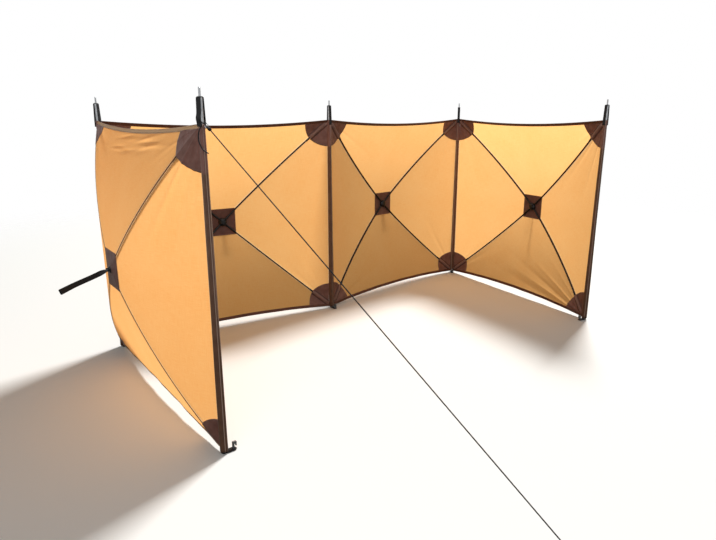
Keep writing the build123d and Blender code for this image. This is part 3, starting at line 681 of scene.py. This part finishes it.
# Each sleeve's phase of its folds, and the place of its seam round it from the sheltered side
sleeve_phases = {"left_end": 4, "left_corner": 5, "centre": 9, "right_corner": 10, "right_end": 5}
seam_turns = {"left_end": -95.0, "left_corner": 150.0, "centre": 12.0, "right_corner": -28.0,
              "right_end": 45.0}
cloth_slant = 19.3
mean_sleeve_radius = 0.017


def round_from(turn, heading):
    """Angles between a turn and a heading in degrees, from minus half a turn to half a turn."""
    return (turn - radians(heading) + pi) % (2 * pi) - pi


def sleeve_grid(name):
    """A slack cloth tube round a post: a cone with low folds, waves over the angle that turn slowly with the
    height, gathered finely at the top, and drawn out in a bell over the angle to each cloth that is sewn to
    it. A seam 4 mm wide runs down it, drawn as a pale painted highlight between painted shadow lines. Near the
    top it has the patches' colour."""
    x, y = posts[name]
    phase = sleeve_phases[name]
    turn = np.linspace(0, 2 * pi, 41)[None, :]
    up = np.linspace(0, 1, 110)[:, None]
    slack = 0.0011 * np.sin(3 * turn + 5 * up + phase) + 0.0007 * np.sin(5 * turn - 9 * up + 2 * phase)
    slack = slack * (1 - 0.5 * up) + 0.0006 * np.sin(34 * up + 2 * turn + phase) * bell(1 - up, 0.2)
    drawn = 0 * turn
    for bay, ends in bay_ends.items():
        if name in ends:
            slant = cloth_slant if name == ends[0] else 180 - cloth_slant
            drawn = drawn + bell(round_from(turn, bay_headings[bay] + slant), 0.32)
    radius = sleeve_radius((up - 0.5) * cloth_height) + (slack - 0.0014) * (1 - drawn) + 0.0005 * drawn
    tall = cloth_lift + cloth_height * up + 0 * turn
    outer, inner = (np.stack([x + r * np.cos(turn), y + r * np.sin(turn), tall], axis=-1)
                    for r in (radius, radius - sleeve_wall))
    grid = np.concatenate([outer, inner[::-1], outer[:1]])
    tall = np.concatenate([tall, tall[::-1], tall[:1]])
    cut = np.stack([turn * sleeve_top + 0 * tall, tall], axis=-1)
    # The seam is a fifth as wide as the patches' folds, so its distance counts five times
    fold = 5 * mean_sleeve_radius * np.abs(round_from(turn, inward_headings[name] + seam_turns[name]))
    values = {"rim": np.minimum(tall - cloth_lift, cloth_top - tall), "run": turn * sleeve_top, "fold": fold,
              "own": np.clip((cloth_top - corner_patch_radius - tall) / 0.004, 0, 1)}
    return grid, cut, values, None


for bay, ends in bay_ends.items():
    gores = [gore_grid(bay, turn, sewn_edge, edge_height, 125, 100, 0.0, 1.0, outward_of(bay))
             for turn in gore_turns]
    cloth = grid_piece(bay + "_cloth", gores, orange_cloth, bay + "_bay_cloth")
    sewn_on = [grid_piece(bay + "_binding", binding_grids(bay), binding_tape,
                          bay + "_bay_binding"),
               grid_piece(bay + "_patches", patch_grids(bay), patch_cloth,
                          bay + "_bay_patches")]
    for name in ends if bay == "left" else ends[1:]:
        sewn_on.append(grid_piece(name + "_sleeve_cloth", [sleeve_grid(name)], sleeve_cloth,
                                  name + "_sleeve"))


# Webbing

def upright_frame(name, turn=0.0):
    """A post's foot and two level directions: to the sheltered side, turned by an angle, and aside."""
    facing = radians(inward_headings[name] + turn)
    forward, aside = (cos(facing), sin(facing), 0.0), (-sin(facing), cos(facing), 0.0)
    return np.array([*posts[name], 0.0]), np.array(forward), np.array(aside)


def top_strap_grids(name):
    """A strap over a post's top: its middle line runs up the sleeve, leans in to the post, crosses its top
    and comes down again. Each half of its width is carried along it, pushed aside by a round hole at the
    pin, and a wall closes the hole."""
    lap, turn = (end_strap_lap, end_strap_turn) if name == "left_end" else (strap_lap, 0.0)
    foot, forward, aside = upright_frame(name, turn)
    half_ply = webbing_ply / 2
    low = sleeve_radius(half_height - lap) + ply_gap + half_ply
    high = post_radius + ply_gap + half_ply
    rising = [(-low, cloth_top - lap), (-low, cloth_top + ply_gap), (-high, post_height + ply_gap + half_ply)]
    line = bent_path(rising + [(-out, up) for out, up in rising[::-1]], 0.005, 0.0022)
    if name == "left_end":
        # The outer leg has slack and bows away from the post just above the sleeve
        line[:, 0] -= 0.0058 * bell(line[:, 1] - cloth_top - 0.020, 0.014) * (line[:, 0] < 0)
    path = foot + line[:, :1] * forward + line[:, 1:] * upward
    along = run_length(path)
    hole = np.sqrt(np.clip(strap_hole ** 2 - (along - along[-1] / 2) ** 2, 0, None))
    at_hole = np.flatnonzero(hole)
    at_hole = np.arange(at_hole[0] - 1, at_hole[-1] + 2)
    share = np.concatenate([np.linspace(0, 1, 6), [1.0, 1.0], np.linspace(1, 0, 6)])
    lift = half_ply * np.concatenate([np.full(6, 1.0), [0.5, -0.5], np.full(6, -1.0)])
    flat = np.ones((len(path), 1))
    flat[[0, -1]] = 0.0
    grids = []
    for half in (1, -1):
        across = half * (hole[:, None] + (top_strap_width / 2 - hole[:, None]) * share)
        grid = carried(np.stack([across, flat * lift], axis=-1), path, aside)
        grids.append((grid, np.stack([across, along[:, None] + 0 * across], axis=-1), {}, None))
        grids.append((grid[at_hole][:, [0, -1]], np.zeros(2), {}, None))
    return grids


def pull_strap_path(bay):
    """A pull strap's middle line and the direction of its width: two legs round the hub's bar, sewn face to
    face below it, which part again into a loop at the far end. Past the bar it twists about its own middle.
    The left bay's one stands out and waves."""
    start = bar_radius + ply_gap + webbing_ply / 2
    far = pull_strap_length - start - loop_opening
    down = np.linspace(0, far, 90)
    gap = gathered_ply + (start - gathered_ply) * bell(down, 0.006)
    gap = gap + (loop_opening - gathered_ply) * np.clip((down - 0.10) / (far - 0.10), 0, 1) ** 2
    wave = 0.006 * np.sin(down / 0.032) * (down / far) if bay == "left" else -0.004 * (down / far) ** 2
    turn = np.linspace(0, pi, 12)[1:-1]
    line = np.concatenate([
        np.stack([down, wave + gap], axis=1),
        np.stack([far + loop_opening * np.sin(turn), wave[-1] + loop_opening * np.cos(turn)], axis=1),
        np.stack([down, wave - gap], axis=1)[::-1],
        np.stack([-start * np.sin(turn), -start * np.cos(turn)], axis=1)])
    line = np.concatenate([line, line[:1]])
    angle = radians(left_strap_angle) if bay == "left" else 0.0
    out, across = np.array([0.0, -cos(angle), sin(angle)]), np.array([0.0, sin(angle), cos(angle)])
    beside = np.array([1.0, 0.0, 0.0])
    twist = radians(strap_twists[bay]) * np.clip((line[:, :1] - 0.004) / 0.05, 0, 1)
    place = line[:, :1] * out + line[:, 1:] * (np.cos(twist) * across + np.sin(twist) * beside)
    place[:, 2] += pop_depth + bar_height
    side = np.cos(twist) * beside - np.sin(twist) * across
    return in_bay(bay, *place.T), in_bay(bay, *side.T) - in_bay(bay, 0.0, 0.0, 0.0)


def foot_tab_grids(name):
    """A flat strip of webbing round a post's foot, 29 mm wide with round ends, with a round hole for the post
    and a square one for the stake: two star-shaped halves that meet on a line between the holes. Each is
    rings from its hole out to its rim, on the lower face and back on the upper one."""
    foot, forward, aside = upright_frame(name)
    half, middle = webbing_width / 2 + webbing_ply, foot_tab_length / 2
    line = np.stack([np.full(9, middle), np.linspace(half, -half, 9)], axis=1)
    bend = np.linspace(pi / 2, 3 * pi / 2, 25)
    end = half * np.stack([np.cos(bend), np.sin(bend)], axis=1)
    near = np.concatenate([line[::-1], end, line[-1:]])
    far = np.concatenate([line, (foot_tab_length, 0.0) - end, line[:1]])
    hole_sizes = (lambda spokes: (post_radius + ply_gap) / np.linalg.norm(spokes, axis=1),
                  lambda spokes: 1 / np.max(np.abs(spokes) / stake_hole, axis=1))
    share = np.linspace(0, 1, 5)[:, None, None]
    grids = []
    for rim, place, hole_size in zip((near, far), ((0.0, 0.0), (foot_tab_length, 0.0)), hole_sizes):
        inner = place + (rim - place) * hole_size(rim - place)[:, None]
        flat = inner * (1 - share) + rim * share
        lower = foot + flat[..., :1] * forward + flat[..., 1:] * aside + foot_tab_height * upward
        grid = np.concatenate([lower, lower[::-1] + webbing_ply * upward, lower[:1]])
        grids.append((grid, np.concatenate([flat, flat[::-1], flat[:1]])[..., ::-1], {}, None))
    return grids


for bay in bay_headings:
    path, beside = pull_strap_path(bay)
    grid_piece(bay + "_pull_webbing", [closed_band(path, beside, webbing_width, webbing_ply)], webbing,
               bay + "_bay_pull_strap")
tab_grids = [grid for name in posts for grid in foot_tab_grids(name)]
grid_piece("foot_webbing", tab_grids, webbing, "foot_tabs")


# Guy line: ring, keeper, rope and tail lie in the upright plane through the left end post

post_foot = np.array([*left_end, 0.0])
level = np.array([cos(rope_heading), sin(rope_heading), 0.0])
aside = np.array([sin(rope_heading), -cos(rope_heading), 0.0])
rope_tilt = atan((cloth_top + sleeve_top - loop_height) / rope_reach)
keeper_height = cloth_top + (sleeve_top * sin(rope_tilt) + keeper_width / 2 + ply_gap) / cos(rope_tilt)
keeper_middle = post_foot + keeper_height * upward
rope_foot = post_foot + rope_reach * level + loop_height * upward
rope_line = unit(rope_foot - keeper_middle)
across_rope = np.cross(rope_line, aside)
ring_place = (sleeve_top + ply_gap + ring_radius + ring_wire / 2) / float(rope_line @ level)
ring_middle = keeper_middle + rope_line * ring_place


def in_rope_plane(start, along, beside):
    """Points at distances along the rope and beside it, from a start."""
    return start + np.multiply.outer(along, rope_line) + np.multiply.outer(beside, aside)


def keeper_grid():
    """A narrow band round the post and the ring's wire, pulled tight: for each direction, the furthest point
    of the three circles that it goes round, which are the tilted post's section and the wire's."""
    lean = (post_radius + keeper_width / 2 * sin(rope_tilt)) / cos(rope_tilt) - post_radius
    sag = ring_radius - sqrt(ring_radius ** 2 - (keeper_width / 2) ** 2)
    centres = np.array([-lean, lean, ring_place - ring_radius])
    radii = np.array([post_radius, post_radius, ring_wire / 2 + sag]) + ply_gap + keeper_ply / 2
    turn = np.linspace(0, 2 * pi, 73)
    furthest = np.argmax(centres * np.cos(turn)[:, None] + radii, axis=1)
    along, beside = centres[furthest] + radii[furthest] * np.cos(turn), radii[furthest] * np.sin(turn)
    return closed_band(in_rope_plane(keeper_middle, along, beside), across_rope, keeper_width, keeper_ply)


def coil_grid(start, radius, length, turns, thickness):
    """Turns of cord wound round the rope: a helix from a start along it."""
    share = np.linspace(0, 1, int(22 * turns))
    turn = 2 * pi * turns * share
    path = in_rope_plane(start, length * share, radius * np.cos(turn))
    path = path + np.multiply.outer(radius * np.sin(turn), across_rope)
    return round_cord(path, thickness, rope_line, 10)


# Along the rope and beside it: out of the knot, round the peg, back through the slider to a stopper; and the
# eye round the ring's wire
loop_radius = (peg_radius + ply_gap + rope_radius) / float(rope_line @ level)
eye_radius = ring_wire / 2 + ply_gap + rope_radius
eye_middle = ring_middle + rope_line * ring_radius
knot_start = eye_middle + rope_line * eye_radius
long_run = float((rope_foot - knot_start) @ rope_line)
doubled_back = slider_from_peg + slider_thickness + knot_length
bend = np.linspace(0, pi, 17)
run_along = np.concatenate([np.linspace(knot_length / 2, long_run, 60),
                            long_run + loop_radius * np.sin(bend)[1:],
                            np.linspace(long_run, long_run - doubled_back, 8)[1:]])
run_beside = np.concatenate([np.zeros(60), loop_radius * (np.cos(bend)[1:] - 1),
                             np.full(7, -2 * loop_radius)])
leg = knot_length / 2 + eye_radius
eye_along = np.concatenate([[leg, leg / 2], -eye_radius * np.sin(bend), [leg / 2, leg]])
eye_beside = eye_radius * np.concatenate([[0.5, 0.9], np.cos(bend), [-0.9, -0.5]])
stopper_start = in_rope_plane(knot_start, long_run - doubled_back, -2 * loop_radius)
rope_grids = [round_cord(in_rope_plane(knot_start, run_along, run_beside), rope_radius, across_rope),
              round_cord(in_rope_plane(eye_middle, eye_along, eye_beside), rope_radius, across_rope),
              coil_grid(knot_start + 0.0015 * rope_line, 0.0045, 0.0095, 2.6, rope_radius),
              coil_grid(stopper_start + 0.0022 * rope_line, 0.0033, 0.0035, 1.6, 0.0020)]
grid_piece("guy_rope_cord", rope_grids, cord, "guy_rope")
for name in posts:
    strap_grids = top_strap_grids(name) + ([keeper_grid()] if name == "left_end" else [])
    grid_piece(name + "_top_webbing", strap_grids, webbing, name + "_top_strap")

# Tail: a short loose end of limp cord that hangs past the sleeve and curls outwards at its foot
route = bpy.data.curves.new("tail_route", "CURVE")
route.dimensions = "3D"
spline = route.splines.new("NURBS")
spline.points.add(len(tail_points) - 1)
for control, (x, y, z) in zip(spline.points, tail_points):
    control.co = (left_end[0] + x, left_end[1] + y, cloth_top + z, 1.0)
spline.order_u = 3
spline.use_endpoint_u = True
holder = bpy.data.objects.new("tail_route", route)
line = bpy.data.meshes.new_from_object(holder)
tail_path = np.empty(3 * len(line.vertices))
line.vertices.foreach_get("co", tail_path)
tail_path = tail_path.reshape(-1, 3)
bpy.data.objects.remove(holder)
tail_grid = round_cord(tail_path, rope_radius, (-0.86, 0.5, 0.0))
tail = grid_piece("guy_tail_cord", [tail_grid], cord, "guy_tail")

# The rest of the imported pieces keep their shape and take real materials
finishes = {"_poles": fibreglass, "_hub": nylon, "_post": steel, "top_eyelets": nylon, "foot_pegs": wire,
            "guy_ring": steel, "guy_peg": wire, "guy_slider": nylon}
for node_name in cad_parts:
    for ending, finish in finishes.items():
        if node_name.endswith(ending):
            for place in bpy.data.objects[node_name].material_slots:
                place.material = finish


# Floor, light and camera

def pale_floor(add):
    """A matt pale board that fades into the white round it, from 3 m to 7 m off. It looks pale to the camera
    and throws little light back."""
    place = add("TexCoord", (), "Object")
    far = add("VectorMath", (place,), "Value", operation="LENGTH")
    fade = add("MapRange", (far, 3.0, 7.0), interpolation_type="SMOOTHSTEP")
    seen = add("LightPath", (), "Is Camera Ray")
    colour = add("Mix", {0: seen, 6: "#66665C", 7: "#EAE9E5"}, 2, data_type="RGBA")
    matt = add("BsdfDiffuse", {"Color": colour})
    return add("MixShader", (fade, matt, add("BsdfTransparent")))


bpy.ops.mesh.primitive_plane_add(size=24, location=(0, 0, 0))
floor = bpy.context.object
floor.name = "floor"
floor.data.materials.append(new_material("pale_floor", pale_floor))

# Even light all round, which is full white where the camera or a mirror sees it
world = bpy.data.worlds.new("studio")
bpy.context.scene.world = world
world.use_nodes = True
tree = world.node_tree
tree.nodes.clear()
add = partial(add_node, tree)
seen = add("LightPath", (), "Is Camera Ray")
for ray in ("Is Glossy Ray", "Is Transmission Ray"):
    seen = add("Math", (seen, add("LightPath", (), ray)), operation="MAXIMUM")
strength = add("MapRange", (seen, 0.0, 1.0, 0.195, 1.0))
shine = add("Background", {"Color": "#FFFFFF", "Strength": strength})
tree.links.new(shine, tree.nodes.new("ShaderNodeOutputWorld").inputs["Surface"])


def area_lamp(name, place, aim, size, power):
    """A square soft lamp at a place, turned to face a point."""
    lamp = bpy.data.lights.new(name, "AREA")
    lamp.size = size
    lamp.energy = power
    holder = bpy.data.objects.new(name, lamp)
    holder.location = place
    away = np.subtract(place, aim)
    holder.rotation_euler = (atan2(hypot(away[0], away[1]), away[2]), 0, atan2(away[0], -away[1]))
    bpy.context.collection.objects.link(holder)


# A lamp high behind on the right, and a weaker one in front
area_lamp("sun_side", (13.1, 4.9, 20.1), (0, -0.4, 0.7), 4.8, 7450)
area_lamp("front_fill", (-4.0, -4.5, 4.0), (0, 0, 0.6), 4.0, 80)

camera_data = bpy.data.cameras.new("camera")
camera_data.sensor_width = 36
camera_data.lens = 28.711
camera = bpy.data.objects.new("camera", camera_data)
camera.location = (-2.3851, -3.487, 1.4434)
camera.rotation_euler = (radians(90 - 15.16), 0, radians(-37.16))
bpy.context.collection.objects.link(camera)
bpy.context.scene.camera = camera
bpy.context.scene.view_settings.view_transform = "Standard"
